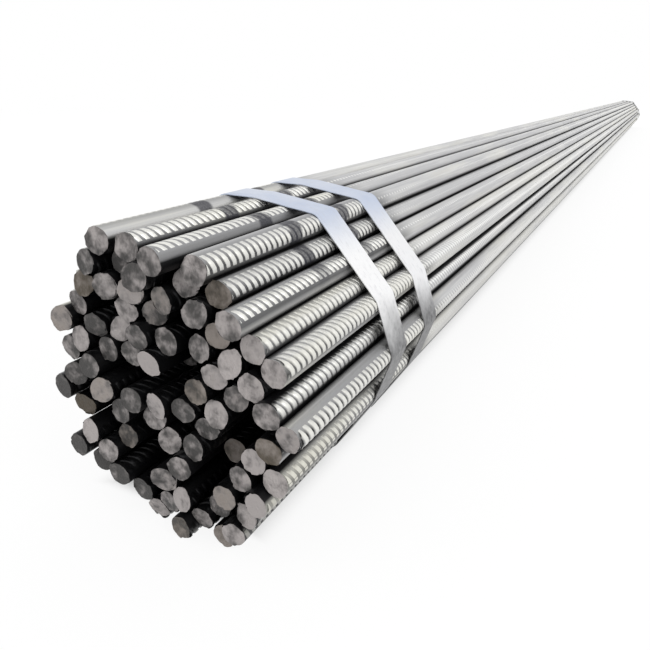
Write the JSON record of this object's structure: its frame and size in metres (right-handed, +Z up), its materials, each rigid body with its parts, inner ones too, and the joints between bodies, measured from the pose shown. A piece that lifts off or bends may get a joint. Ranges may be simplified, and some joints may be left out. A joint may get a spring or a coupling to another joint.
{
  "type": "rebar bundle",
  "caption": "Round bundle of ribbed reinforcing bars lying parallel with staggered sheared ends, held tight by flat steel straps near both ends",
  "frame": {"origin": "on the floor below the middle of the bundle", "axes": "+Y along the bars away from the near end, +X across the bundle to the right, +Z up"},
  "size_m": [0.2104, 6.0998, 0.2192],
  "materials": {
    "bar_steel": "mill scale, bright on the ribs",
    "strap_steel": "bright galvanised",
    "seal_steel": "bright galvanised"
  },
  "bodies": {
    "root": {"bars_course_01": "bar_steel", "bars_course_02": "bar_steel", "bars_course_03": "bar_steel", "bars_course_04": "bar_steel", "bars_course_05": "bar_steel", "bars_course_06": "bar_steel", "bars_course_07": "bar_steel", "bars_course_08": "bar_steel", "bars_course_09": "bar_steel", "bars_course_10": "bar_steel", "bars_course_11": "bar_steel", "bars_course_12": "bar_steel", "strap_near_outer": "strap_steel", "strap_near_inner": "strap_steel", "strap_far_inner": "strap_steel", "strap_far_outer": "strap_steel", "seal_near_outer": "seal_steel", "seal_near_inner": "seal_steel", "seal_far_inner": "seal_steel", "seal_far_outer": "seal_steel"}
  },
  "joints": []
}
